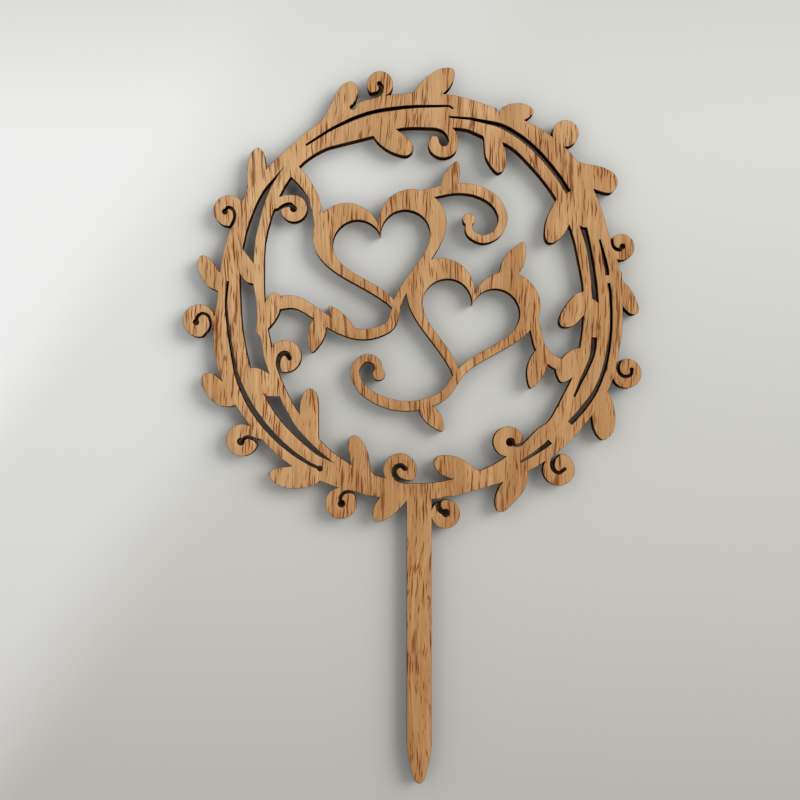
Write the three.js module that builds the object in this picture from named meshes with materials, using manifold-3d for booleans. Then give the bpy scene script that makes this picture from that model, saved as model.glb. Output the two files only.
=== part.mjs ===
// Wedding cake topper: a wreath of leaves and curls round two linked hearts, on one flat pick.
// It is cut from one sheet of three-ply board, so its pieces are the three plies, all with the same outline.
// Millimetres, +Z up. The sheet stands upright: X is its width, and its front face looks towards -Y.
// The origin is on the pick's middle line, at the surface of the cake that the pick is pushed into.

import * as THREE from 'three';
import { mergeVertices } from 'three/addons/utils/BufferGeometryUtils.js';
import Module from 'manifold-3d';

// Driving sizes

const wreathRadius = 42; // from the wreath's middle to the outer edge of its band, on average
const wreathOffset = 0.8; // how far the wreath's middle stands to the right of the pick's
const faceVeneer = 0.6; // thickness of the front ply, and of the back ply
const coreBoard = 1.8; // thickness of the middle ply
const pickWidth = 5.2;
const pickReach = 9.6; // from the cake's surface up to the wreath's band
const pickInsert = 50; // from the cake's surface down to the tip
const pickTaper = 8.2; // length of the narrowing end
const heartWidth = 28.5; // outer width of each heart
const heartFlank = 3.9; // width of the heart's stroke at its widest place
const heartCleft = 2.3; // width of the stroke between the two lobes
const tendrilRoot = 1.8; // width of a tendril where it leaves a heart
const tendrilMiddle = 2.2;
const tendrilEnd = 1.5;
const tendrilBall = 1.3; // radius of the ball that ends a tendril
const tieFoot = 3; // width of a tie where it meets the wreath
const slitFine = 0.35; // width of a slit where it runs out
const slitNarrow = 0.55;
const slitMiddle = 0.8;
const slitBroad = 1.1; // width of a slit at its broad end
const overrun = 1; // how far a cut runs past both faces of the sheet
const chordError = 0.03; // how far a straight facet may stand off the curve that it follows
const spareStandOff = 0.04; // a point of a curve that is nearer than this to the line past it is left out
const leastEdge = 0.02; // two points of the finished outline that are nearer than this become one

// The outlines are drawn on a square grid about the wreath's middle, in squares across and squares up.
// The wreath's radius is squaresShare squares, so every outline below is in shares of that radius.

const squaresShare = 200;
const gridSquare = wreathRadius / squaresShare;
const wreathHeight = pickReach + wreathRadius; // height of the wreath's middle
const sheetDepth = faceVeneer + coreBoard + faceVeneer;

// Outer and inner edge of the wreath's band: an angle in degrees from the right, and squares from the middle.

const bandOuterShares = [
  [8, 199], [20, 197.5], [30, 202], [42, 208], [55, 208], [68, 205], [80, 207], [92, 207.5], [106, 208],
  [118, 206], [130, 203.5], [148, 206], [165, 205.5], [180, 206], [190, 213], [199, 216.5], [212, 214.5],
  [228, 212.5], [240, 208], [252, 203.5], [262, 200.5], [276, 199], [285, 197.5], [300, 200.5], [314, 204],
  [325, 204.5], [335, 206], [343, 203.5], [353, 201],
];

const bandInnerShares = [
  [3, 161], [15, 161], [25, 164], [37, 167.5], [50, 172], [61, 177], [69, 174.5], [76, 176.5], [85, 173],
  [97, 173.5], [106.5, 171.5], [115, 174.5], [123, 180.5], [131, 182.5], [140, 179.5], [150.5, 173.5],
  [160, 168], [168, 162.5], [175, 159.5], [185, 158], [197, 158.5], [206, 161.5], [220, 167], [235, 174.5],
  [246, 179.5], [257, 182], [268, 183.5], [280, 181.5], [293, 179], [304, 175.5], [312, 172.5], [316, 174.5],
  [325, 170], [335, 167.5], [350, 162.5],
];

// Leaves, each from one root round the tip to the other root. The roots lie inside the band.

const outerLeafShares = [
  [[189, 38], [194, 31.5], [198.5, 28], [199.5, 20], [204.5, 15], [210, 7], [214.5, -3], [216, -9],
    [214, -13.5], [210.5, -14.5], [206.5, -13], [202.5, -9.5], [199, -5]],
  [[168, 112], [177, 109], [183, 107.3], [189, 107.7], [193.5, 113], [194.8, 118], [193.5, 123],
    [190, 127.5], [184, 131], [174, 134.5], [163, 136], [152, 140]],
  [[72, 184], [76, 190], [80, 193], [85, 195.5], [91, 196.8], [97, 197], [103, 195.5], [108, 193],
    [110.5, 189.5], [110.3, 187], [108, 184.5], [105, 182], [99, 179]],
  [[16, 203], [20, 206.5], [23.5, 209.5], [27, 213.5], [30, 219], [31.5, 225], [31, 230], [28, 232.2],
    [24, 232.5], [18, 231.5], [11, 228.5], [5, 224], [-1, 219], [-5, 214], [-8, 209], [-14, 204]],
  [[-76, 184], [-70, 193.5], [-67, 201], [-65, 208], [-65.5, 213], [-68, 216.5], [-72, 218.7],
    [-76, 218], [-81, 215], [-84.5, 210.5], [-88, 204], [-92, 197], [-94.5, 191], [-98, 185], [-106, 173]],
  [[-153, 121], [-157, 131], [-158, 140], [-158.5, 145], [-161, 150], [-165, 152.5], [-169, 150.5],
    [-172, 147], [-174.5, 140], [-176, 130], [-176, 120], [-176, 110], [-179, 100]],
  [[-197, 24], [-203.5, 28], [-207, 33], [-211, 39], [-215, 42.5], [-219, 44.7], [-223, 44], [-225, 39],
    [-225.5, 33], [-224, 28], [-221, 22], [-217, 16], [-213, 12.5], [-205.5, 9], [-198, 4]],
  [[-194, -84], [-201.5, -80.5], [-206, -76.5], [-210, -73.7], [-216, -72.7], [-221, -76], [-222, -82],
    [-220, -88], [-216, -95], [-210, -101.5], [-203, -105.5], [-193, -106.5], [-186, -104]],
  [[-126, -163], [-133, -166.5], [-139, -167], [-146, -168], [-152, -170.5], [-154.5, -174.5],
    [-152, -179], [-147, -183.5], [-140, -187], [-131, -188.5], [-121, -188], [-112, -186],
    [-107, -184], [-101, -179]],
  [[-37, -190], [-43, -197], [-47, -203], [-50, -210], [-50.5, -216], [-48, -220.5], [-42, -221.3],
    [-35, -218.5], [-27, -212], [-20, -205], [-14, -198]],
  [[86, -175], [81.5, -180.5], [77, -186], [74, -192], [72.3, -199], [72.5, -206], [75, -211],
    [79, -212], [83, -210], [88, -205.5], [93, -200.5], [98, -194.5], [102, -188], [104, -181],
    [105, -172], [104, -165]],
  [[168, -106], [169.3, -114], [169.5, -120], [171, -128], [174, -134.5], [177.5, -138.5], [181, -140],
    [188, -135], [191, -129], [192.5, -120], [191.5, -109], [189, -100], [185.5, -93], [180, -86]],
];

const innerLeafShares = [
  [[138, 108], [133.5, 100.5], [130, 95], [126, 87], [123, 78], [122, 69], [122.5, 62], [125, 58],
    [130, 57.3], [135, 60], [141, 66], [145, 73], [147, 79], [150, 86]],
  [[52, 172], [59, 166], [61, 161], [61.5, 153], [62.5, 145], [65.5, 138], [70, 131.5], [75, 127.5],
    [79, 128.7], [82.5, 134], [83.5, 142], [82.5, 150], [79.5, 157], [80, 164]],
  [[-53, 170], [-50, 164.5], [-46, 159], [-40, 153.5], [-33, 149], [-25, 146], [-17, 144.5],
    [-12, 147], [-9.5, 151.5], [-11, 156.5], [-16, 162.5], [-22, 167], [-27, 171.5], [-30, 177]],
  [[-160, -36], [-155, -29], [-150, -23], [-146, -17], [-143, -10], [-141.5, -3], [-142, 3], [-146, 7],
    [-151, 7], [-155.5, 3], [-158.5, -4], [-161, -12]],
  [[-125, -122], [-123.5, -113.5], [-123, -105], [-121, -96], [-118, -91], [-113, -88.5], [-109, -90],
    [-106, -95], [-104.5, -105], [-104.5, -120], [-104.5, -136.5], [-104, -146]],
  [[-70, -172], [-71.5, -164.5], [-73.5, -157], [-74.5, -150], [-75, -143], [-73, -138], [-70, -135.5],
    [-66, -136], [-62, -140], [-58, -146], [-55, -153], [-53.5, -162], [-52.5, -169], [-49, -174.5],
    [-43, -180]],
  [[38, -180], [31, -179], [25, -177.3], [17, -173.5], [12.5, -168], [11, -162.5], [14, -157],
    [18, -155.3], [25, -155], [33, -156.5], [40, -159.5], [47, -164.5], [52, -168.5], [57, -171],
    [63, -174]],
  [[166, 12], [159.5, 8.5], [154, 7], [149, 2], [144, -4], [139.5, -11], [137, -17], [136.3, -21.5],
    [137.5, -25], [141, -27], [146, -27], [151.5, -25], [156, -20.5], [161, -15], [165, -9]],
  [[165, -42], [157.5, -47.5], [152, -48.7], [147, -51], [142, -55], [137, -60.5], [133, -67],
    [134, -75], [138.5, -82], [144, -81], [148.5, -78], [156, -72]],
];

// The berry among the outer leaves: its middle and its radius.

const berryShares = [142.4, 166.7, 13.3];

// The hook that hangs inside the wreath's top, drawn like a leaf.

const hookShares = [
  [32, 178], [29.5, 173], [32.5, 169], [34.7, 163], [35, 157], [33.5, 150], [29, 145], [22, 142.7],
  [14, 144], [8.5, 148], [5.7, 153.5], [6, 160], [8, 163.3], [11.5, 164.3], [14.8, 163], [15.8, 159],
  [17.5, 155.5], [20.5, 154], [24, 155], [25.8, 159], [24.8, 163.5], [22, 167.5], [17, 171], [8, 173.5],
  [4, 178],
];

// Curls. Each is a disc, given by its middle and its radius, with a comma-shaped slot. The slot's middle
// line runs from its mouth to its bulb, with a width at each point but the last, and there the bulb's width.
// A neck is drawn like a leaf, and joins a disc to the band.

const curls = [
  {
    discShares: [198.5, 53, 13],
    slotShares: [[188.8, 62], [189.5, 56], [192.5, 51.5], [197, 50.5], [199.5, 53.7]],
    widthShares: [2.5, 2.5, 3, 3.5, 5.4],
  },
  {
    discShares: [-43, 216, 13],
    slotShares: [[-60, 204], [-50, 204.7], [-43.5, 207.5], [-41.7, 212.5], [-43.7, 216.7]],
    widthShares: [8, 6.5, 5.5, 4.8, 4.4],
  },
  {
    discShares: [-194, 89.5, 15.5],
    slotShares: [[-197, 66], [-189, 80], [-188.5, 87], [-191.5, 91.7], [-195.5, 92.5], [-198.2, 88.5]],
    widthShares: [2.5, 3, 3, 2.6, 3, 5.6],
  },
  {
    discShares: [-224, -20.5, 16.3],
    slotShares: [[-217.5, -39], [-212.4, -29], [-212.5, -21], [-215, -15.5], [-220.5, -13.3],
      [-225, -16], [-227, -22]],
    widthShares: [9, 5.4, 3, 2.6, 2.6, 3, 6],
  },
  {
    discShares: [-181, -140, 16],
    slotShares: [[-162, -145.5], [-169, -139], [-176.5, -137.2], [-182.2, -141.5]],
    widthShares: [5, 3.4, 3.4, 7.4],
    neckShares: [[-174, -127], [-167, -132], [-166, -137.5], [-158, -139], [-152, -132], [-162, -122]],
  },
  {
    discShares: [-82, -203, 15.7],
    slotShares: [[-58, -196], [-74, -191.5], [-79.5, -193], [-82.7, -198], [-81.5, -203.5]],
    widthShares: [2.6, 2.6, 3, 3.4, 7.4],
  },
  {
    discShares: [22.5, -214, 14.4],
    slotShares: [[30, -197.8], [23, -198], [18, -199.7], [15.7, -204.5], [17, -210], [22.8, -212.8]],
    widthShares: [3, 3, 3, 4, 5, 8],
  },
  {
    discShares: [136, -169.6, 15.9],
    slotShares: [[137.5, -152], [130.7, -158.7], [129.3, -165], [131.5, -170.5], [136, -172.7],
      [141.5, -169]],
    widthShares: [3, 3.6, 4.8, 4, 3.2, 3.4],
  },
  {
    discShares: [203.8, -73.3, 14.7],
    slotShares: [[198, -58.5], [195.4, -64], [195.3, -70], [198.5, -75], [203.5, -76.4], [208, -74],
      [208.6, -69.5]],
    widthShares: [3.8, 3.6, 3.5, 3.2, 3, 3.2, 3.9],
  },
  {
    discShares: [-129.4, 91.8, 13.4],
    slotShares: [[-149, 85], [-142.5, 92.3], [-137, 95], [-132.5, 95.3], [-129.6, 91.4]],
    widthShares: [4, 3, 3.4, 4.4, 6.6],
    neckShares: [[-129, 105.2], [-137, 105.2], [-143, 103.5], [-153, 105], [-156, 92], [-147, 91.5],
      [-140, 94], [-131, 99]],
  },
  {
    discShares: [-138, -56, 16.2],
    slotShares: [[-142, -75], [-144.7, -67], [-144.7, -60], [-141.5, -54], [-136.5, -53.5], [-133.5, -58]],
    widthShares: [3, 3.4, 4, 4.6, 4.8, 4.6],
  },
  {
    discShares: [-23, -170, 16.8],
    slotShares: [[-5, -181.6], [-19, -181.3], [-26, -178], [-29, -172], [-27, -167], [-22, -165.5],
      [-18, -168.5]],
    widthShares: [2.4, 2.4, 4.4, 5.2, 5, 4.6, 4.6],
  },
  {
    discShares: [85.5, -141.5, 15.2],
    slotShares: [[104, -133], [98, -143.8], [93, -145.2], [87.4, -142]],
    widthShares: [4, 2.6, 2.8, 8.6],
  },
];

// The three gaps that part the wreath's left side into an outer and an inner vine. Each row is one smooth
// stretch, which starts where the row before it ends, in a sharp corner.

const gapShares = [
  [
    [[-138.5, 134], [-151, 120], [-160, 109], [-169, 91], [-177, 68], [-180.5, 51.5]],
    [[-169.5, 37]],
    [[-168.3, 57], [-163.5, 80], [-157.5, 100], [-150, 117], [-138.5, 134]],
  ],
  [
    [[-183.5, 27.5], [-183, 8], [-182.3, -10], [-180.5, -30], [-177, -50], [-173, -67.5]],
    [[-167, -67.5], [-161, -69.5], [-153.5, -74]],
    [[-158.5, -60], [-162, -40], [-164, -35.5]],
    [[-167.5, -32]],
    [[-166, -20], [-167, 0], [-170, 16.5]],
    [[-175, 17.5], [-181, 23], [-183.5, 27.5]],
  ],
  [
    [[-160, -92.5], [-157, -95.5], [-152, -96.5], [-143.5, -96.5]],
    [[-139, -106], [-133, -117], [-127, -127], [-120, -135], [-105, -150], [-88, -163.5]],
    [[-107, -154], [-119, -144], [-128, -136], [-136, -128], [-149, -112], [-155, -102], [-160, -92.5]],
  ],
];

// The slit on the inner right of the band, which has corners and is drawn like a gap.

const corneredSlitShares = [
  [[156.5, 74.5], [160, 72.8], [164, 72.5]],
  [[167.5, 57], [171.5, 35], [174.5, 12], [175.5, -3.5]],
  [[172.5, 0], [169.3, 1.5]],
  [[168, 20], [164, 50], [160, 64], [156.5, 74.5]],
];

// The other slits: a middle line, and the widths that are spread evenly along it. Some end in a round bulb.

const slits = [
  {
    pathShares: [[-117, 155], [-88, 173], [-55.5, 186.4], [-20, 192.7], [7, 194], [27, 193.6], [30, 191.5]],
    widths: [slitFine, slitNarrow, slitMiddle, slitMiddle, slitNarrow, slitFine],
  },
  {
    pathShares: [[26.5, 183.2], [47, 181.5], [57, 179.5], [77, 174.7], [97, 163.5], [117, 146],
      [137, 121.5], [145.5, 108]],
    widths: [slitFine, slitNarrow, slitBroad, slitBroad, slitBroad, slitBroad],
  },
  {
    pathShares: [[176.8, 60.5], [179.3, 50], [182, 40], [184, 30], [184.3, 25]],
    widths: [slitFine, slitNarrow, slitMiddle, slitMiddle],
  },
  {
    pathShares: [[185.8, 17], [187.3, 8], [188.2, -10], [188, -30], [185.5, -50], [181, -70],
      [173, -90], [159, -110], [147, -123]],
    widths: [slitNarrow, slitNarrow, slitNarrow, slitMiddle, slitMiddle, slitBroad, slitBroad],
  },
  {
    pathShares: [[171.3, -37.5], [170.3, -50], [167.8, -60], [163.5, -70], [158.5, -80], [151.3, -96.5]],
    widths: [slitBroad, slitBroad, slitMiddle, slitMiddle, slitNarrow, slitFine],
  },
  {
    pathShares: [[97.8, -161.8], [112, -153], [122, -146], [127, -141.5]],
    widths: [slitFine, slitNarrow, slitMiddle, slitBroad],
  },
  {
    pathShares: [[-195, 19], [-197, 0], [-196.3, -15], [-194.5, -30], [-191.5, -50], [-186, -76],
      [-173, -105], [-156, -128.5], [-135, -149], [-113, -164], [-103, -168.5]],
    widths: [slitFine, slitNarrow, slitNarrow, slitMiddle, slitBroad, slitBroad, slitMiddle, slitNarrow],
    bulbShare: 2.7,
  },
  { pathShares: [[-67, 198], [-70.5, 193]], widths: [slitMiddle, slitNarrow], bulbShare: 2.6 },
  { pathShares: [[78, 193], [74.8, 189.6]], widths: [slitMiddle, slitFine], bulbShare: 1.5 },
];

// The narrowing end of the pick: shares of its length, and shares of half the pick's width.

const taperShares = [[0, 1], [0.35, 0.86], [0.62, 0.66], [0.84, 0.46], [0.96, 0.26], [1, 0]];
const pickRootShare = 0.96; // how far out in the wreath's band the pick starts, as a share of the radius

// The hearts follow a sum of cosine waves, and the cube of a sine across. Each has a middle on the grid, and
// leans by some degrees to the left.

const heartAcrossShare = 16;
const heartWaveShares = [13, -5, -2, -1];
const heartSpans = 6; // pieces that each half of a heart is first divided into
const leftHeart = { middleShares: [-40, 54], lean: 12 };
const rightHeart = { middleShares: [47, -15], lean: -12 };

// Tendrils. Each one starts in its heart's stroke, at angles round the heart's outline (0 is the cleft and
// 180 the point, clockwise), and follows the grid from there. A tie ends inside the wreath, the others in a
// ball.

const tendrils = [
  {
    heart: leftHeart,
    angles: [258, 276],
    pathShares: [[-106, 90], [-111, 106], [-121, 121], [-137, 137]],
    tie: true,
  },
  {
    heart: leftHeart,
    angles: [148, 160],
    pathShares: [[-32, -24], [-46, -32], [-64, -34], [-84, -28], [-106, -14], [-128, -2], [-154, -4]],
    tie: true,
  },
  {
    heart: rightHeart,
    angles: [70, 84],
    pathShares: [[113, -30], [117, -46], [126, -58], [140, -66], [156, -70]],
    tie: true,
  },
  {
    heart: leftHeart,
    angles: [36, 46],
    pathShares: [[12, 108], [34, 112], [56, 109], [73, 98], [80, 82], [74, 67], [60, 61], [47, 68], [46, 81]],
  },
  {
    heart: rightHeart,
    angles: [148, 160],
    pathShares: [[22, -94], [4, -103], [-20, -106], [-44, -100], [-62, -87], [-68, -70], [-58, -58],
      [-46, -62], [-44, -74]],
  },
];

const tendrilLeafShares = [
  [[16, 106], [18, 118], [24, 130], [34, 139], [37, 128], [35, 117], [28, 107]],
  [[-66, -32], [-72, -22], [-82, -12], [-94, -6], [-92, -16], [-86, -25], [-78, -32]],
  [[-96, -20], [-97, -31], [-102, -43], [-111, -52], [-115, -41], [-114, -28], [-107, -14]],
  [[-6, -106], [-1, -117], [8, -126], [20, -131], [20, -120], [15, -110], [6, -104]],
  [[118, -44], [108, -57], [104, -72], [108, -88], [118, -79], [124, -67], [127, -56]],
  [[76, 26], [80, 40], [89, 51], [101, 58], [103, 47], [101, 35], [94, 24]],
];

// Points on the grid. Every outline is drawn about the wreath's middle.

const atSquare = ([across, up]) => new THREE.Vector2(across * gridSquare, up * gridSquare);

const atSpoke = ([degrees, squares]) => {
  const turn = THREE.MathUtils.degToRad(degrees);
  return atSquare([squares * Math.cos(turn), squares * Math.sin(turn)]);
};

// Lines and outlines

const stopShares = [0.25, 0.5, 0.75]; // where a curve is held against its chord
const leastSides = 12; // sides of the smallest circle

// Points on a curve, close enough together that no facet stands off it by more than the chord error.
function sampled(curve, spans) {
  const at = (share) => {
    const point = curve.getPoint(share);
    return new THREE.Vector2(point.x, point.y);
  };
  const points = [at(0)];
  const add = (from, to) => {
    const start = at(from);
    const chord = at(to).sub(start);
    const offsets = stopShares.map((share) => at(THREE.MathUtils.lerp(from, to, share)).sub(start));
    const standOff = Math.max(...offsets.map((offset) => Math.abs(chord.cross(offset)) / chord.length()));
    if (standOff > chordError) {
      const middle = (from + to) / 2;
      add(from, middle);
      add(middle, to);
    } else {
      points.push(at(to));
    }
  };
  for (let span = 0; span < spans; span += 1) {
    add(span / spans, (span + 1) / spans);
  }
  return points;
}

// A line without the points that the line past them comes near enough to. It keeps both its ends.
function withoutSpares(line) {
  const kept = [line[0]];
  let left = [];
  for (let i = 1; i < line.length - 1; i += 1) {
    left.push(line[i]);
    const from = kept[kept.length - 1];
    const chord = line[i + 1].clone().sub(from);
    const standOff = (spare) => Math.abs(chord.cross(spare.clone().sub(from))) / chord.length();
    if (left.some((spare) => standOff(spare) > spareStandOff)) {
      kept.push(line[i]);
      left = [];
    }
  }
  return [...kept, line[line.length - 1]];
}

// A smooth line through points. A closed one comes without its last point, which is its first.
function smoothLine(points, closed = false) {
  if (points.length === 2) {
    return points;
  }
  const knots = points.map((point) => new THREE.Vector3(point.x, point.y, 0));
  const curve = new THREE.CatmullRomCurve3(knots, closed, 'centripetal');
  const line = withoutSpares(sampled(curve, closed ? points.length : points.length - 1));
  return closed ? line.slice(0, -1) : line;
}

// A closed outline of smooth stretches, with a corner where one ends and the next begins.
function corneredOutline(stretches) {
  const outline = [];
  let corner = null;
  for (const stretch of stretches) {
    const points = corner ? [corner, ...stretch] : stretch;
    outline.push(...smoothLine(points).slice(0, -1));
    corner = points[points.length - 1];
  }
  return outline;
}

function circle(middle, radius) {
  const steps = Math.max(leastSides, Math.ceil(Math.PI / Math.acos(1 - chordError / radius)));
  return Array.from({ length: steps }, (unused, step) => {
    const turn = (2 * Math.PI * step) / steps;
    return new THREE.Vector2(middle.x + radius * Math.cos(turn), middle.y + radius * Math.sin(turn));
  });
}

const disc = ([across, up, radiusShare]) => circle(atSquare([across, up]), radiusShare * gridSquare);

// The outline of a stroke along a smooth line, whose widths are spread evenly along it.
function strokeOutline(points, widths) {
  const line = smoothLine(points);
  const lengths = [0];
  for (let i = 1; i < line.length; i += 1) {
    lengths.push(lengths[i - 1] + line[i].distanceTo(line[i - 1]));
  }
  const widthAt = (share) => {
    const place = share * (widths.length - 1);
    const step = Math.min(Math.floor(place), widths.length - 2);
    return THREE.MathUtils.lerp(widths[step], widths[step + 1], place - step);
  };
  const left = [];
  const right = [];
  line.forEach((point, i) => {
    const before = line[Math.max(i - 1, 0)];
    const after = line[Math.min(i + 1, line.length - 1)];
    const along = after.clone().sub(before).normalize();
    const half = widthAt(lengths[i] / lengths[line.length - 1]) / 2;
    left.push(new THREE.Vector2(point.x - along.y * half, point.y + along.x * half));
    right.unshift(new THREE.Vector2(point.x + along.y * half, point.y - along.x * half));
  });
  return [...left, ...right];
}

// Hearts

class HeartLine extends THREE.Curve {
  constructor(width, fromDegrees, toDegrees) {
    super();
    this.unit = width / (2 * heartAcrossShare);
    this.fromDegrees = fromDegrees;
    this.toDegrees = toDegrees;
  }

  getPoint(share) {
    const degrees = THREE.MathUtils.lerp(this.fromDegrees, this.toDegrees, share);
    const turn = THREE.MathUtils.degToRad(degrees);
    const waves = heartWaveShares.map((height, i) => height * Math.cos((i + 1) * turn));
    const up = waves.reduce((sum, wave) => sum + wave);
    return new THREE.Vector2(heartAcrossShare * Math.sin(turn) ** 3, up).multiplyScalar(this.unit);
  }
}

const heartPoint = (width, degrees) => new HeartLine(width, degrees, degrees).getPoint(0);

// The hole in a heart has the same shape. It is set lower, which leaves the cleft's stroke its own width.
const heartHole = heartWidth - 2 * heartFlank;
const heartHoleDrop = heartCleft - heartPoint(heartWidth, 0).y + heartPoint(heartHole, 0).y;

function onHeart(heart, point, drop) {
  const lean = THREE.MathUtils.degToRad(heart.lean);
  const leaning = new THREE.Vector2(point.x, point.y - drop).rotateAround(new THREE.Vector2(), lean);
  return leaning.add(atSquare(heart.middleShares));
}

function heartOutline(heart, width, drop) {
  const rightHalf = sampled(new HeartLine(width, 0, 180), heartSpans).slice(0, -1);
  const leftHalf = sampled(new HeartLine(width, 180, 360), heartSpans).slice(0, -1);
  return [...rightHalf, ...leftHalf].map((point) => onHeart(heart, point, drop));
}

// The middle of a heart's stroke, at an angle round its outline.
function heartMiddle(heart, degrees) {
  const outer = onHeart(heart, heartPoint(heartWidth, degrees), 0);
  const inner = onHeart(heart, heartPoint(heartHole, degrees), heartHoleDrop);
  return outer.lerp(inner, 0.5);
}

// The outlines that are joined to the band, and those that are cut out of it

function pickOutline() {
  const root = wreathHeight - pickRootShare * wreathRadius;
  const shoulder = pickTaper - pickInsert;
  const half = pickWidth / 2;
  const taper = taperShares.map(([down, out]) => new THREE.Vector2(out * half, shoulder - down * pickTaper));
  const rightSide = [new THREE.Vector2(half, root), ...smoothLine(taper)];
  const leftSide = rightSide.slice(0, -1).map((point) => new THREE.Vector2(-point.x, point.y)).reverse();
  const wreathMiddle = new THREE.Vector2(wreathOffset, wreathHeight);
  return [...rightSide, ...leftSide].map((point) => point.sub(wreathMiddle));
}

function joinedOutlines() {
  const outlines = [pickOutline()];
  const neckShares = curls.flatMap((curl) => (curl.neckShares ? [curl.neckShares] : []));
  const leafShares = [...outerLeafShares, ...innerLeafShares, ...tendrilLeafShares];
  for (const rowShares of [...leafShares, ...neckShares, hookShares]) {
    outlines.push(smoothLine(rowShares.map(atSquare)));
  }
  for (const discShares of [berryShares, ...curls.map((curl) => curl.discShares)]) {
    outlines.push(disc(discShares));
  }
  for (const { heart, angles, pathShares, tie } of tendrils) {
    const path = [...angles.map((angle) => heartMiddle(heart, angle)), ...pathShares.map(atSquare)];
    if (tie) {
      outlines.push(strokeOutline(path, [tendrilRoot, tendrilMiddle, tendrilMiddle, tieFoot]));
    } else {
      outlines.push(strokeOutline(path, [tendrilRoot, tendrilMiddle, tendrilEnd]));
      outlines.push(circle(path[path.length - 1], tendrilBall));
    }
  }
  return outlines;
}

function cutOutlines() {
  const outlines = [...gapShares, corneredSlitShares].map((stretches) =>
    corneredOutline(stretches.map((stretch) => stretch.map(atSquare))));
  for (const { pathShares, widths, bulbShare } of slits) {
    const path = pathShares.map(atSquare);
    outlines.push(strokeOutline(path, widths));
    if (bulbShare) {
      outlines.push(circle(path[path.length - 1], bulbShare * gridSquare));
    }
  }
  for (const { slotShares, widthShares } of curls) {
    const path = slotShares.map(atSquare);
    const widths = widthShares.map((share) => share * gridSquare);
    const bulb = widths.pop();
    outlines.push(strokeOutline(path, [...widths, widths[widths.length - 1]]));
    outlines.push(circle(path[path.length - 1], bulb / 2));
  }
  return outlines;
}

// Solids. Each outline becomes a slab as deep as the sheet, and the slabs are joined and cut.

const wasm = await Module();
wasm.setup();

function slab(outline, past = 0) {
  const options = { depth: sheetDepth + 2 * past, bevelEnabled: false };
  const geometry = new THREE.ExtrudeGeometry(new THREE.Shape(outline), options);
  geometry.translate(0, 0, -past);
  geometry.deleteAttribute('normal');
  geometry.deleteAttribute('uv');
  const merged = mergeVertices(geometry);
  const vertProperties = merged.attributes.position.array;
  const triVerts = new Uint32Array(merged.index.array);
  return new wasm.Manifold(new wasm.Mesh({ numProp: 3, vertProperties, triVerts }));
}

const ring = (outer, inner) => slab(outer).subtract(slab(inner, overrun));

function cutSheet() {
  const bandOuter = smoothLine(bandOuterShares.map(atSpoke), true);
  const bandInner = smoothLine(bandInnerShares.map(atSpoke), true);
  let sheet = ring(bandOuter, bandInner);
  for (const heart of [leftHeart, rightHeart]) {
    const hole = heartOutline(heart, heartHole, heartHoleDrop);
    sheet = sheet.add(ring(heartOutline(heart, heartWidth, 0), hole));
  }
  for (const outline of joinedOutlines()) {
    sheet = sheet.add(slab(outline));
  }
  for (const outline of cutOutlines()) {
    sheet = sheet.subtract(slab(outline, overrun));
  }
  return sheet;
}

// The outlines of the finished sheet: the edges of its upper face that only one triangle has, put end to end.
function faceLoops(sheet) {
  const { vertProperties, triVerts } = sheet.getMesh();
  const pointOf = (vertex) => new THREE.Vector2(vertProperties[3 * vertex], vertProperties[3 * vertex + 1]);
  const isUpper = (vertex) => vertProperties[3 * vertex + 2] > sheetDepth / 2;
  const edges = new Map();
  for (let i = 0; i < triVerts.length; i += 3) {
    const corners = [...triVerts.slice(i, i + 3)];
    if (corners.every(isUpper)) {
      corners.forEach((from, side) => {
        const to = corners[(side + 1) % 3];
        if (!edges.delete(`${to} ${from}`)) {
          edges.set(`${from} ${to}`, [from, to]);
        }
      });
    }
  }
  const next = new Map(edges.values());
  const loops = [];
  while (next.size > 0) {
    const [first] = next.keys();
    const loop = [];
    for (let vertex = first; next.has(vertex);) {
      const to = next.get(vertex);
      next.delete(vertex);
      loop.push(pointOf(vertex));
      vertex = to;
    }
    loops.push(loop.filter((point, i) => point.distanceTo(loop[(i + 1) % loop.length]) > leastEdge));
  }
  return loops;
}

// The plies, from the back to the front

const veneerLook = { color: 0xb3875b, roughness: 0.72, metalness: 0 };
const coreLook = { color: 0x4a3221, roughness: 0.9, metalness: 0 };
const plies = [
  { name: 'back_veneer', thickness: faceVeneer, look: veneerLook },
  { name: 'core_board', thickness: coreBoard, look: coreLook },
  { name: 'front_veneer', thickness: faceVeneer, look: veneerLook },
];

function sheetShape() {
  const loops = faceLoops(cutSheet());
  loops.sort((one, other) => THREE.ShapeUtils.area(other) - THREE.ShapeUtils.area(one));
  const holes = loops.filter((loop) => loop.length > 2 && THREE.ShapeUtils.isClockWise(loop));
  const shape = new THREE.Shape(loops[0]);
  shape.holes = holes.map((hole) => new THREE.Path(hole));
  return shape;
}

function buildTopper() {
  const topper = new THREE.Group();
  const shape = sheetShape();
  let plane = sheetDepth / 2;
  for (const { name, thickness, look } of plies) {
    const geometry = new THREE.ExtrudeGeometry(shape, { depth: thickness, bevelEnabled: false });
    const ply = new THREE.Mesh(geometry, new THREE.MeshStandardMaterial(look));
    ply.name = name;
    ply.rotation.x = Math.PI / 2;
    ply.position.set(wreathOffset, plane, wreathHeight);
    plane -= thickness;
    topper.add(ply);
  }
  return topper;
}

export default buildTopper();
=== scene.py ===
# Wedding cake topper, laser cut from three-ply board, lying on pale paper.
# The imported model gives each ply's outline. Here the outlines become smooth, the cut edges get their
# rounding and glue lines, and the wood and the burnt edges get their materials.
# Lengths are in metres, but the nodes of the materials work in millimetres.

import math

import bmesh
import bpy
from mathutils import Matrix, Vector
from mathutils.geometry import delaunay_2d_cdt


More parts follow.
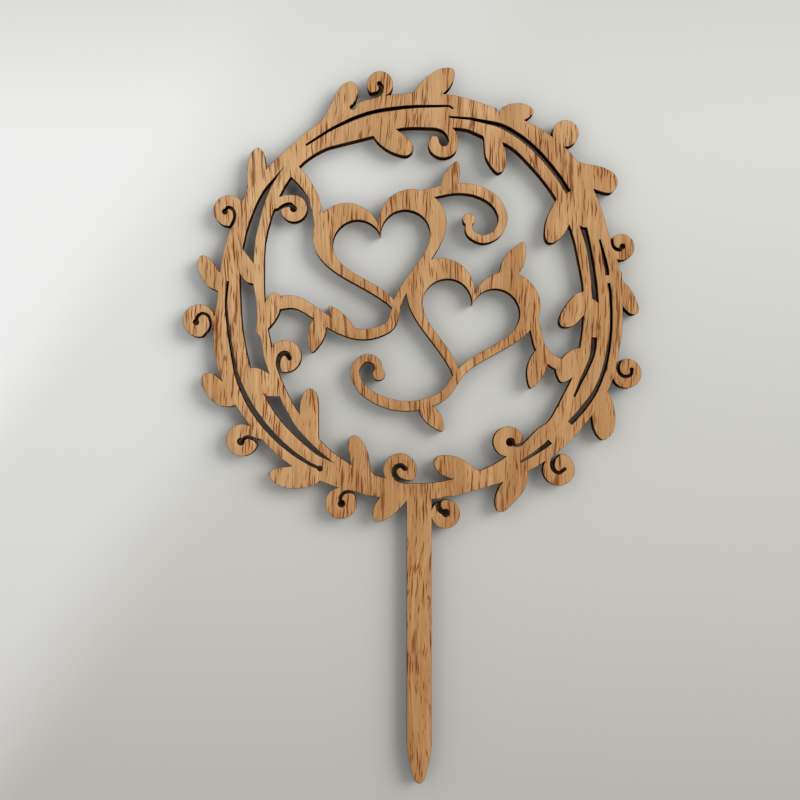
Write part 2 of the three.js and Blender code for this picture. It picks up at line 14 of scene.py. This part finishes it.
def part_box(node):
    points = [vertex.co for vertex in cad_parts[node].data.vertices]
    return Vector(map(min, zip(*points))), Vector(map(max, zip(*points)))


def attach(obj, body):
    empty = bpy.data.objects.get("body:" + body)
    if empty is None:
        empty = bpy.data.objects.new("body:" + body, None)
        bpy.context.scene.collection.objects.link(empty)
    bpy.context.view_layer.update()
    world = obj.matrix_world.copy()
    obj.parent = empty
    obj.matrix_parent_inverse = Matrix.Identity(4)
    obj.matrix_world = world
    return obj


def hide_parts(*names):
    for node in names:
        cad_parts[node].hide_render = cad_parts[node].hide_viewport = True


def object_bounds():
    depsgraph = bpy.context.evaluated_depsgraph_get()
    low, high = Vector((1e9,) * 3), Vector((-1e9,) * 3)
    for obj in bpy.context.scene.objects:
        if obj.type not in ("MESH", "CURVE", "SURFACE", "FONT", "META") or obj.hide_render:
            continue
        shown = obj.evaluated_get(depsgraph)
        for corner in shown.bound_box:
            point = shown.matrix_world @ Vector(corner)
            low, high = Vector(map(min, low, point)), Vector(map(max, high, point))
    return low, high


mm = 0.001

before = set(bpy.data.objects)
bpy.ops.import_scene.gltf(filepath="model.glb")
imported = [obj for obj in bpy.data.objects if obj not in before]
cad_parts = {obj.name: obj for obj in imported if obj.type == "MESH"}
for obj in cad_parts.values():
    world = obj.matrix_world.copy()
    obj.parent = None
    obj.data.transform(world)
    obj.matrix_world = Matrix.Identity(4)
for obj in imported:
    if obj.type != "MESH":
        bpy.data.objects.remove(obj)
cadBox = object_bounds()
print("frame loaded:", ", ".join(sorted(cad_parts)))


# Camera

cameraView = {
    "place": (-0.0084, -0.2815, 0.0176),  # square in front of this point of the board
    "lens": 60.0,
    "sensor": 36.0,
    "shiftRight": 0.026,
    "shiftUp": 0.0775,
}


def addCamera():
    data = bpy.data.cameras.new("photoCamera")
    data.lens = cameraView["lens"]
    data.sensor_width = cameraView["sensor"]
    data.shift_x = cameraView["shiftRight"]
    data.shift_y = cameraView["shiftUp"]
    camera = bpy.data.objects.new("photoCamera", data)
    camera.location = cameraView["place"]
    camera.rotation_euler = (math.radians(90), 0, 0)
    bpy.context.scene.collection.objects.link(camera)
    bpy.context.scene.camera = camera


# Outlines

smoothing = {
    "mergeDistance": 0.0001 * mm,
    "frontNormal": -0.9,  # a triangle of the ply's front has its normal's y below this
    "cornerTurn": math.radians(80),  # a sharper turn is always a corner
    "cornerReach": 0.8 * mm,  # so is a turn in radians that comes to this, times the edges beside it
    "turnPerEdge": math.radians(8),  # the finished outline turns no more than this at a point
    "foldedBack": 0.05,  # where the ways into the wood of two edges add up to less, they fold back
    "cornerReachLimit": 0.5,  # keeps a sharp corner's step into the wood to twice an edge's
    "fillTolerance": 1e-7,  # millimetres
}


# The outlines of a ply's front, as seen from the front: anticlockwise round the wood.
def faceOutlines(node):
    ply = bmesh.new()
    ply.from_mesh(node.data)
    bmesh.ops.remove_doubles(ply, verts=ply.verts, dist=smoothing["mergeDistance"])
    ply.normal_update()

    def isFront(face):
        return face.normal.y < smoothing["frontNormal"]

    following = {}
    for face in filter(isFront, ply.faces):
        for corner in face.loops:
            if sum(map(isFront, corner.edge.link_faces)) == 1:
                following.setdefault(corner.vert, []).append(corner.link_loop_next.vert)
    outlines = []
    while following:
        vert = next(iter(following))
        outline = []
        while vert in following:
            outline.append(Vector((vert.co.x, vert.co.z)))
            after = following[vert].pop()
            if not following[vert]:
                del following[vert]
            vert = after
        outlines.append(outline)
    ply.free()
    return outlines


def turnAt(before, point, after):
    return (point - before).angle(after - point, 0.0)


def isCorner(before, point, after):
    turn = turnAt(before, point, after)
    edges = ((point - before).length + (after - point).length) / 2
    return turn > smoothing["cornerTurn"] or turn * edges > smoothing["cornerReach"]


# A point on the centripetal curve through four knots, between the second and the third.
def curvePoint(knots, share):
    times = [0.0]
    for start, end in zip(knots, knots[1:]):
        times.append(times[-1] + math.sqrt((end - start).length))
    time = times[1] + (times[2] - times[1]) * share

    def between(start, end, first, last):
        return start.lerp(end, (time - times[first]) / (times[last] - times[first]))

    sides = [between(knots[i], knots[i + 1], i, i + 1) for i in range(3)]
    return between(between(sides[0], sides[1], 0, 2), between(sides[1], sides[2], 1, 3), 1, 2)


# The same outline with its curves smooth, its corners kept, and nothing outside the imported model's box.
def smoothOutline(points):
    count = len(points)
    around = [(points[i - 1], points[i], points[(i + 1) % count]) for i in range(count)]
    corners = [isCorner(*three) for three in around]
    turns = [turnAt(*three) for three in around]
    low, high = cadBox
    smooth = []
    for i in range(count):
        j = (i + 1) % count
        start, end = points[i], points[j]
        before = 2 * start - end if corners[i] else points[i - 1]
        after = 2 * end - start if corners[j] else points[(j + 1) % count]
        turn = sum(turns[k] / 2 for k in (i, j) if not corners[k])
        steps = max(1, math.ceil(turn / smoothing["turnPerEdge"]))
        for step in range(steps):
            point = curvePoint((before, start, end, after), step / steps) if step else start
            x = min(max(point.x, low[0]), high[0])
            z = min(max(point.y, low[2]), high[2])
            smooth.append(Vector((x, z)))
    return smooth


# For each point, the way into the wood, longer at a corner so that both its edges move in alike.
def inwardSteps(outline):
    steps = []
    for i, point in enumerate(outline):
        ahead = (outline[(i + 1) % len(outline)] - point).normalized()
        behind = (point - outline[i - 1]).normalized()
        inward = Vector((-ahead.y - behind.y, ahead.x + behind.x))
        if inward.length < smoothing["foldedBack"]:
            inward = Vector((-ahead.y, ahead.x))
        inward.normalize()
        reach = max(inward.dot(Vector((-ahead.y, ahead.x))), smoothing["cornerReachLimit"])
        steps.append(inward / reach)
    return steps


def isHole(outline):
    return sum(start.cross(end) for start, end in zip(outline, outline[1:] + outline[:1])) < 0


# Triangles between the outer outline and the holes. A triangle inside a hole lies in two rings at once.
def fillOutlines(outlines):
    points = [point / mm for outline in outlines for point in outline]
    rings = []
    for outline in outlines:
        first = sum(len(ring) for ring in rings)
        ring = list(range(first, first + len(outline)))
        rings.append(ring[::-1] if isHole(outline) else ring)
    insideOnly = 1
    filled = delaunay_2d_cdt(points, [], rings, insideOnly, smoothing["fillTolerance"])
    _, _, faces, sources, _, within = filled
    if any(not found for found in sources):
        raise ValueError("the outlines cross each other")
    return [[sources[vert][0] for vert in face] for face, found in zip(faces, within) if len(found) == 1]


# Plies

board = {
    "edgeRound": 0.06 * mm,  # the laser leaves the faces' edges a little soft
    "glueGroove": 0.03 * mm,  # depth of the line between two plies on the cut edge
    "roundMiddle": 0.3,  # where the rounding's middle lies, as a share of it from both faces
    "burnHollow": 0.02 * mm,  # how far the middle of the cut edge is burnt back
    "sharpTurn": math.radians(32),  # the edge looks smooth round a smaller turn
}

# A seed shifts the grain or the burns, and edgeBrown makes a cut edge browner.
plies = {
    "frontPly": {
        "node": "front_veneer", "slot": "veneer", "frontRound": True, "backRound": False,
        "face": "frontFaceWood", "grainSeed": 0.0,
        "edge": "frontPlyEdge", "edgeSeed": 1.0, "edgeBrown": 0.04,
    },
    "middlePly": {
        "node": "core_board", "slot": "core", "frontRound": False, "backRound": False,
        "face": "middlePlyWood", "grainSeed": 5.0,
        "edge": "middlePlyEdge", "edgeSeed": 2.0, "edgeBrown": -0.04,
    },
    "backPly": {
        "node": "back_veneer", "slot": "veneer", "frontRound": False, "backRound": True,
        "face": "backFaceWood", "grainSeed": 11.3,
        "edge": "backPlyEdge", "edgeSeed": 3.0, "edgeBrown": 0.02,
    },
}


# How far in the cut edge stands, at places through the ply's thickness from its front to its back.
def edgeSections(ply, front, back):
    roundOff, groove = board["edgeRound"], board["glueGroove"]
    between = board["roundMiddle"] * roundOff
    rounded = [(0.0, roundOff), (between, between), (roundOff, 0.0)]
    grooved = [(0.0, groove), (groove, 0.0)]
    atFront = rounded if ply["frontRound"] else grooved
    atBack = rounded if ply["backRound"] else grooved
    middle = [((front + back) / 2, board["burnHollow"])]
    return (
        [(front + down, inset) for down, inset in atFront]
        + middle
        + [(back - down, inset) for down, inset in reversed(atBack)]
    )


def buildPly(name, ply, outlines, inward, fill, materials):
    low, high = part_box(ply["node"])
    sections = edgeSections(ply, low.y, high.y)
    points = [point for outline in outlines for point in outline]
    count = len(points)
    verts = []
    for depth, inset in sections:
        for point, step in zip(points, inward):
            place = point + step * inset
            verts.append((place.x, depth, place.y))
    last = count * (len(sections) - 1)
    faces = [list(face) for face in fill]
    faces += [[vert + last for vert in reversed(face)] for face in fill]
    capFaces = len(faces)
    first = 0
    for outline in outlines:
        size = len(outline)
        for level in range(len(sections) - 1):
            for i in range(size):
                here = level * count + first + i
                beside = level * count + first + (i + 1) % size
                faces.append([here, here + count, beside + count, beside])
        first += size

    mesh = bpy.data.meshes.new(name)
    mesh.from_pydata(verts, [], faces)
    for material in materials:
        mesh.materials.append(material)
    for polygon in mesh.polygons:
        polygon.material_index = 0 if polygon.index < capFaces else 1
        polygon.use_smooth = polygon.index >= capFaces
    mesh.set_sharp_from_angle(angle=board["sharpTurn"])

    run = mesh.attributes.new("edgeRun", "FLOAT", "POINT")
    lengths = []
    for outline in outlines:
        length = 0.0
        for i, point in enumerate(outline):
            lengths.append(length / mm)
            length += (outline[(i + 1) % len(outline)] - point).length
    run.data.foreach_set("value", lengths * len(sections))

    piece = bpy.data.objects.new(name, mesh)
    bpy.context.scene.collection.objects.link(piece)
    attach(piece, "root")
    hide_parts(ply["node"])
    return piece


# Materials

def srgb(red, green, blue):
    channels = [value / 255 for value in (red, green, blue)]
    return [c / 12.92 if c <= 0.04045 else ((c + 0.055) / 1.055) ** 2.4 for c in channels] + [1.0]


# Builds the nodes of a material or of the world.
class Nodes:
    def __init__(self, owner):
        self.owner = owner
        owner.use_nodes = True
        self.tree = owner.node_tree
        self.tree.nodes.clear()

    def add(self, kind, inputs=None, **settings):
        node = self.tree.nodes.new("ShaderNode" + kind)
        for key, value in settings.items():
            setattr(node, key, value)
        for key, value in (inputs or {}).items():
            if isinstance(value, bpy.types.NodeSocket):
                self.tree.links.new(value, node.inputs[key])
            else:
                node.inputs[key].default_value = value
        return node

    def math(self, operation, *values):
        return self.add("Math", dict(enumerate(values)), operation=operation).outputs[0]

    def vector(self, x, y, z):
        return self.add("CombineXYZ", {0: x, 1: y, 2: z}).outputs[0]

    def noise(self, vector, scale=1.0, detail=2.0, roughness=0.5):
        values = {"Vector": vector, "Scale": scale, "Detail": detail, "Roughness": roughness}
        return self.add("TexNoise", values).outputs[0]

    def remap(self, value, fromLow, fromHigh, toLow=0.0, toHigh=1.0, smooth=False):
        kind = "SMOOTHSTEP" if smooth else "LINEAR"
        node = self.add("MapRange", {0: value, 1: fromLow, 2: fromHigh, 3: toLow, 4: toHigh})
        node.interpolation_type = kind
        return node.outputs[0]

    def ramp(self, value, stops):
        node = self.add("ValToRGB", {0: value})
        elements = node.color_ramp.elements
        while len(elements) < len(stops):
            elements.new(0.5)
        for element, (place, color) in zip(elements, stops):
            element.position = place
            element.color = color
        return node.outputs[0]

    def mix(self, share, below, above, blend="MIX"):
        node = self.add("MixRGB", {0: share, 1: below, 2: above}, blend_type=blend)
        return node.outputs[0]

    def woodSurface(self, color, roughness, height, depth, relief, gloss):
        bump = self.add("Bump", {"Height": height, "Distance": depth, "Strength": relief}).outputs[0]
        values = {"Base Color": color, "Roughness": roughness, "Normal": bump, "Specular IOR Level": gloss}
        return self.add("BsdfPrincipled", values).outputs[0]

    # The place on the piece, in millimetres.
    def place(self):
        metres = self.add("TexCoord").outputs["Object"]
        scaled = self.add("VectorMath", {0: metres, 3: 1 / mm}, operation="SCALE").outputs[0]
        return self.add("SeparateXYZ", {0: scaled}).outputs

    def finish(self, shader, output="OutputMaterial"):
        self.add(output, {"Surface": shader})
        return self.owner


# Sizes in millimetres: across the grain, then along it. A range gives the value at which a feature starts
# to show and the value at which it shows in full.
veneer = {
    "dark": srgb(155, 108, 61),
    "middle": srgb(191, 146, 98),
    "light": srgb(223, 183, 135),
    "streak": srgb(173, 115, 67),
    "halo": srgb(176, 112, 61),
    "pore": srgb(108, 50, 8),
    "tone": 0.41,
    "stripWidth": 4.6,
    "stripSoftness": 0.08,
    "stripTone": 0.27,
    "streakSize": (1.1, 22.0),
    "streakTone": 0.6,
    "redRange": (0.04, 0.24),  # of the streaks' noise further up, where the wood takes the streak's colour
    "redShift": 40.0,
    "redStrength": 0.6,
    "fibreSize": (0.24, 9.0),
    "fibreTone": 0.8,
    "paintedShadeRight": 0.003,  # painted shade: tone lost for each millimetre to the right
    "paintedShadeDown": 0.0028,  # and painted shade lost for each millimetre down
    "bendSize": (33.0, 70.0),
    "bend": 9.0,
    "wobbleSize": (2.9, 3.4),
    "wobble": 0.6,
    "groupSize": (6.0, 15.0),
    "groupRange": (-0.17, 0.02),
    "leastPores": 0.1,
    "poreSpacing": (0.52, 11.5),
    "poreChance": (0.2, 0.9),  # the random values at which a cell's pore is smallest and largest
    "poreSize": (0.07, 0.31),  # smallest and largest, as a share of the spacing
    "poreRange": (1.0, 0.55),
    "poreStrength": 0.95,
    "haloRange": (2.4, 0.8),
    "haloStrength": 0.42,
    "fineShift": 3.7,
    "fineSpacing": (0.5, 6.5),
    "fineSize": (0.03, 0.22),
    "lineSize": (1.7, 34.0),
    "lineShift": 90.0,
    "lineWidth": 0.016,  # as a share of the noise's range
    "lineRange": (1.0, 0.2),
    "lineStrength": 0.7,
    "breakSize": (1.5, 6.0),
    "breakRange": (-0.12, 0.06),
    "poreDepth": 0.03 * mm,
    "fibreHeight": 0.35,  # of the pores' depth
    "relief": 0.7,
    "roughness": (0.6, 0.8),
    "roughTones": (0.2, 0.8),
    "gloss": 0.08,
}


# Open pores of the wood: short dark dashes along the grain, one in each cell of a stretched net. The value
# says how near a point is to its pore: below 1 it lies in it.
def poreNearness(nodes, across, along, spacing, sizes, fullness, seed):
    place = nodes.vector(
        nodes.math("DIVIDE", nodes.math("ADD", across, seed), spacing[0]),
        nodes.math("DIVIDE", nodes.math("ADD", along, seed), spacing[1]),
        0.0,
    )
    cell = nodes.add("TexVoronoi", {"Vector": place, "Scale": 1.0}, voronoi_dimensions="2D")
    chance = nodes.add("SeparateColor", {0: cell.outputs["Color"]}).outputs[0]
    size = nodes.remap(chance, *veneer["poreChance"], *sizes)
    size = nodes.math("MULTIPLY", size, fullness)
    return nodes.math("DIVIDE", cell.outputs["Distance"], size)


def veneerMaterial(name, seed):
    nodes = Nodes(bpy.data.materials.new(name))
    x, _, z = nodes.place()

    def stretchedNoise(across, along, size, **settings):
        vector = nodes.vector(
            nodes.math("DIVIDE", across, size[0]), seed, nodes.math("DIVIDE", along, size[1])
        )
        return nodes.math("SUBTRACT", nodes.noise(vector, **settings), 0.5)

    bend = nodes.math("MULTIPLY", stretchedNoise(x, z, veneer["bendSize"]), veneer["bend"])
    across = nodes.math("ADD", x, bend)
    wobble = stretchedNoise(x, z, veneer["wobbleSize"], detail=1.0)
    wavyAcross = nodes.math("ADD", across, nodes.math("MULTIPLY", wobble, veneer["wobble"]))

    strip = nodes.add(
        "TexVoronoi",
        {
            "W": nodes.math("ADD", nodes.math("DIVIDE", across, veneer["stripWidth"]), seed),
            "Scale": 1.0,
            "Smoothness": veneer["stripSoftness"],
        },
        voronoi_dimensions="1D",
        feature="SMOOTH_F1",
    )
    stripChance = nodes.add("SeparateColor", {0: strip.outputs["Color"]}).outputs[0]
    fibre = stretchedNoise(wavyAcross, z, veneer["fibreSize"], detail=3.0, roughness=0.6)
    tone = nodes.math("MULTIPLY", nodes.math("SUBTRACT", stripChance, 0.5), veneer["stripTone"])
    # Besides the grain and the strips, the tone carries painted shade: darker to the right and down.
    for value, strength in (
        (stretchedNoise(across, z, veneer["streakSize"], detail=3.0), veneer["streakTone"]),
        (fibre, veneer["fibreTone"]),
        (z, veneer["paintedShadeDown"]),
        (x, -veneer["paintedShadeRight"]),
    ):
        tone = nodes.math("ADD", tone, nodes.math("MULTIPLY", value, strength))
    tone = nodes.math("ADD", tone, veneer["tone"])
    wood = nodes.ramp(tone, [(0.0, veneer["dark"]), (0.5, veneer["middle"]), (1.0, veneer["light"])])
    red = stretchedNoise(across, nodes.math("ADD", z, veneer["redShift"]), veneer["streakSize"])
    red = nodes.remap(red, *veneer["redRange"], 0.0, veneer["redStrength"], smooth=True)
    wood = nodes.mix(red, wood, veneer["streak"])

    groups = stretchedNoise(across, z, veneer["groupSize"], detail=1.0)
    fullness = nodes.remap(groups, *veneer["groupRange"], veneer["leastPores"], 1.0, smooth=True)
    nearness = [
        poreNearness(nodes, wavyAcross, z, veneer[spacing], veneer[sizes], fullness, seed + shift)
        for spacing, sizes, shift in (
            ("poreSpacing", "poreSize", 0.0),
            ("fineSpacing", "fineSize", veneer["fineShift"]),
        )
    ]
    nearness = nodes.math("MINIMUM", *nearness)
    pores = nodes.remap(nearness, *veneer["poreRange"], smooth=True)
    halo = nodes.remap(nearness, *veneer["haloRange"], 0.0, veneer["haloStrength"], smooth=True)
    color = nodes.mix(halo, wood, veneer["halo"])

    # Long vessels: thin lines along which a stretched noise has its middle value, broken here and there.
    furtherUp = nodes.math("ADD", z, veneer["lineShift"])
    level = stretchedNoise(wavyAcross, furtherUp, veneer["lineSize"], detail=1.0)
    nearLine = nodes.math("DIVIDE", nodes.math("ABSOLUTE", level), veneer["lineWidth"])
    breaks = stretchedNoise(x, z, veneer["breakSize"], detail=1.0)
    lines = nodes.math(
        "MULTIPLY",
        nodes.remap(nearLine, *veneer["lineRange"], smooth=True),
        nodes.remap(breaks, *veneer["breakRange"], smooth=True),
    )
    color = nodes.mix(nodes.math("MULTIPLY", lines, veneer["lineStrength"]), color, veneer["pore"])
    color = nodes.mix(nodes.math("MULTIPLY", pores, veneer["poreStrength"]), color, veneer["pore"])
    height = nodes.math("SUBTRACT", nodes.math("MULTIPLY", fibre, veneer["fibreHeight"]), pores)
    roughness = nodes.remap(tone, *veneer["roughTones"], *veneer["roughness"])
    surface = nodes.woodSurface(
        color, roughness, height, veneer["poreDepth"], veneer["relief"], veneer["gloss"]
    )
    return nodes.finish(surface)


burntEdge = {
    "soot": srgb(14, 9, 7),
    "char": srgb(34, 21, 14),
    "scorched": srgb(84, 52, 32),
    "colorTones": (0.42, 0.62, 0.95),  # the tones of these three colours
    "strokesPerMm": 4.5,  # the laser's pulses leave lines through the thickness
    "strokesThrough": 0.35,  # how much they change on the way, for each millimetre
    "strokesTone": 0.75,
    "patchesPerMm": 1 / 3.5,
    "patchesThrough": 0.6,
    "patchesTone": 0.55,
    "strokeDepth": 0.04 * mm,
    "relief": 0.8,
    "roughness": (0.7, 0.95),
    "roughStrokes": (0.3, 0.7),
    "gloss": 0.0,
}


def burntMaterial(name, seed, brown):
    nodes = Nodes(bpy.data.materials.new(name))
    run = nodes.add("Attribute", attribute_name="edgeRun").outputs["Fac"]
    _, depth, _ = nodes.place()

    def burns(perMm, through, **settings):
        along = nodes.math("MULTIPLY", run, perMm)
        return nodes.noise(nodes.vector(along, nodes.math("MULTIPLY", depth, through), seed), **settings)

    strokes = burns(burntEdge["strokesPerMm"], burntEdge["strokesThrough"], detail=3.0, roughness=0.65)
    patches = burns(burntEdge["patchesPerMm"], burntEdge["patchesThrough"])
    tone = brown
    for value, strength in ((strokes, burntEdge["strokesTone"]), (patches, burntEdge["patchesTone"])):
        tone = nodes.math("ADD", tone, nodes.math("MULTIPLY", value, strength))
    colors = (burntEdge["soot"], burntEdge["char"], burntEdge["scorched"])
    color = nodes.ramp(tone, list(zip(burntEdge["colorTones"], colors)))
    roughness = nodes.remap(strokes, *burntEdge["roughStrokes"], *burntEdge["roughness"])
    surface = nodes.woodSurface(
        color, roughness, strokes, burntEdge["strokeDepth"], burntEdge["relief"], burntEdge["gloss"]
    )
    return nodes.finish(surface)


def buildTopper():
    outlines = [smoothOutline(outline) for outline in faceOutlines(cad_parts["front_veneer"])]
    inward = [step for outline in outlines for step in inwardSteps(outline)]
    fill = fillOutlines(outlines)
    print("outlines:", len(outlines), "points:", len(inward), "triangles on a face:", len(fill))
    for name, ply in plies.items():
        face = veneerMaterial(ply["face"], ply["grainSeed"])
        edge = burntMaterial(ply["edge"], ply["edgeSeed"], ply["edgeBrown"])
        buildPly(name, ply, outlines, inward, fill, (face, edge))
        print("ply:", name)


# Paper and light

paper = {
    "gap": 0.08 * mm,  # between the topper's back and the paper
    "size": 1.6,
    "top": srgb(231, 231, 226),
    "foot": srgb(184, 182, 176),
    "footToTop": (-0.06, 0.12),  # the heights between which the foot's colour goes over into the top's, painted shade that makes the paper darker towards the bottom
    "daylight": srgb(246, 246, 246),
    "dim": srgb(186, 184, 178),
    "dimTop": (0.080, 0.125),  # the heights between which painted shade makes the paper's top dimmer
    "dimStrength": 0.4,
    "upLeft": (-0.826, 0.564),  # the way in which the painted daylight on the paper gets stronger
    "daylightEdges": ((88.8, 10.0, 0.45), (49.5, 14.0, 0.4)),  # how far up left the painted daylight reaches, how soft, and how strong
    "fuzz": {"scale": 900.0, "detail": 4.0, "roughness": 0.6},
    "fuzzHeight": 0.02 * mm,
    "fuzzRelief": 0.3,
}


def addPaper():
    depth = cadBox[1][1] + paper["gap"]
    half = paper["size"] / 2
    corners = [(-half, -half), (half, -half), (half, half), (-half, half)]
    mesh = bpy.data.meshes.new("paper")
    mesh.from_pydata([(x, depth, z) for x, z in corners], [], [(0, 1, 2, 3)])
    sheet = bpy.data.objects.new("paper", mesh)
    bpy.context.scene.collection.objects.link(sheet)
    sheet.visible_diffuse = False
    sheet.visible_glossy = False
    sheet.visible_transmission = False
    sheet.visible_shadow = False

    nodes = Nodes(bpy.data.materials.new("paperSurface"))
    place = nodes.add("TexCoord").outputs["Object"]
    x, _, z = nodes.add("SeparateXYZ", {0: place}).outputs
    # Painted shade: the paper gets darker towards the bottom.
    color = nodes.mix(nodes.remap(z, *paper["footToTop"]), paper["foot"], paper["top"])
    # Painted light: brighter patches of daylight towards the upper left.
    left, up = (nodes.math("MULTIPLY", value, part / mm) for value, part in zip((x, z), paper["upLeft"]))
    upLeft = nodes.math("ADD", left, up)
    daylight = 0.0
    for edge, softness, strength in paper["daylightEdges"]:
        patch = nodes.remap(upLeft, edge - softness, edge + softness, 0.0, strength, smooth=True)
        daylight = nodes.math("ADD", daylight, patch)
    color = nodes.mix(daylight, color, paper["daylight"])
    # Painted shade: the paper's top gets dimmer.
    dim = nodes.remap(z, *paper["dimTop"], 0.0, paper["dimStrength"], smooth=True)
    color = nodes.mix(dim, color, paper["dim"])
    fuzz = nodes.noise(place, **paper["fuzz"])
    bump = nodes.add(
        "Bump", {"Height": fuzz, "Distance": paper["fuzzHeight"], "Strength": paper["fuzzRelief"]}
    )
    front = nodes.add("BsdfDiffuse", {"Color": color, "Normal": bump.outputs[0]}).outputs[0]
    clear = nodes.add("BsdfTransparent").outputs[0]
    behind = nodes.add("NewGeometry").outputs["Backfacing"]
    shader = nodes.add("MixShader", {0: behind, 1: front, 2: clear}).outputs[0]
    mesh.materials.append(nodes.finish(shader))


lamps = {
    "keyLamp": {"place": (3.66, -2.81, 1.67), "aim": (0, 0, 0.04), "size": 3.6, "power": 146.0},
    "backLamp": {"place": (-0.5, 0.8, 0.6), "aim": (0, 0, 0.03), "size": 0.6, "power": 4.4},
}

roomLight = {
    "strength": 0.91,
    "strengthAhead": 0.0,  # straight in front of the topper's faces, where little light comes from
    "dimmerAhead": (0.8, 0.9),  # from how far ahead it gets dimmer, where 1 is straight ahead
    "color": (1.0, 1.0, 1.0, 1.0),
    "background": srgb(228, 227, 224),
}


def addLight():
    for name, lamp in lamps.items():
        data = bpy.data.lights.new(name, "AREA")
        data.shape = "DISK"
        data.size = lamp["size"]
        data.energy = lamp["power"]
        light = bpy.data.objects.new(name, data)
        light.location = lamp["place"]
        direction = Vector(lamp["aim"]) - light.location
        light.rotation_euler = direction.to_track_quat("-Z", "Y").to_euler()
        bpy.context.scene.collection.objects.link(light)

    world = bpy.data.worlds.new("room")
    bpy.context.scene.world = world
    nodes = Nodes(world)
    direction = nodes.add("TexCoord").outputs["Generated"]
    ahead = nodes.math("ABSOLUTE", nodes.add("SeparateXYZ", {0: direction}).outputs[1])
    dimFrom, dimTo = roomLight["dimmerAhead"]
    strength = nodes.remap(
        ahead, dimFrom, dimTo, roomLight["strength"], roomLight["strengthAhead"], smooth=True
    )
    around = nodes.add("Background", {0: roomLight["color"], 1: strength}).outputs[0]
    seen = nodes.add("Background", {0: roomLight["background"]}).outputs[0]
    cameraRay = nodes.add("LightPath").outputs["Is Camera Ray"]
    nodes.finish(nodes.add("MixShader", {0: cameraRay, 1: around, 2: seen}).outputs[0], "OutputWorld")


addCamera()
buildTopper()
addPaper()
addLight()
bpy.context.scene.view_settings.view_transform = "Standard"
print("paper, camera and lamps placed")
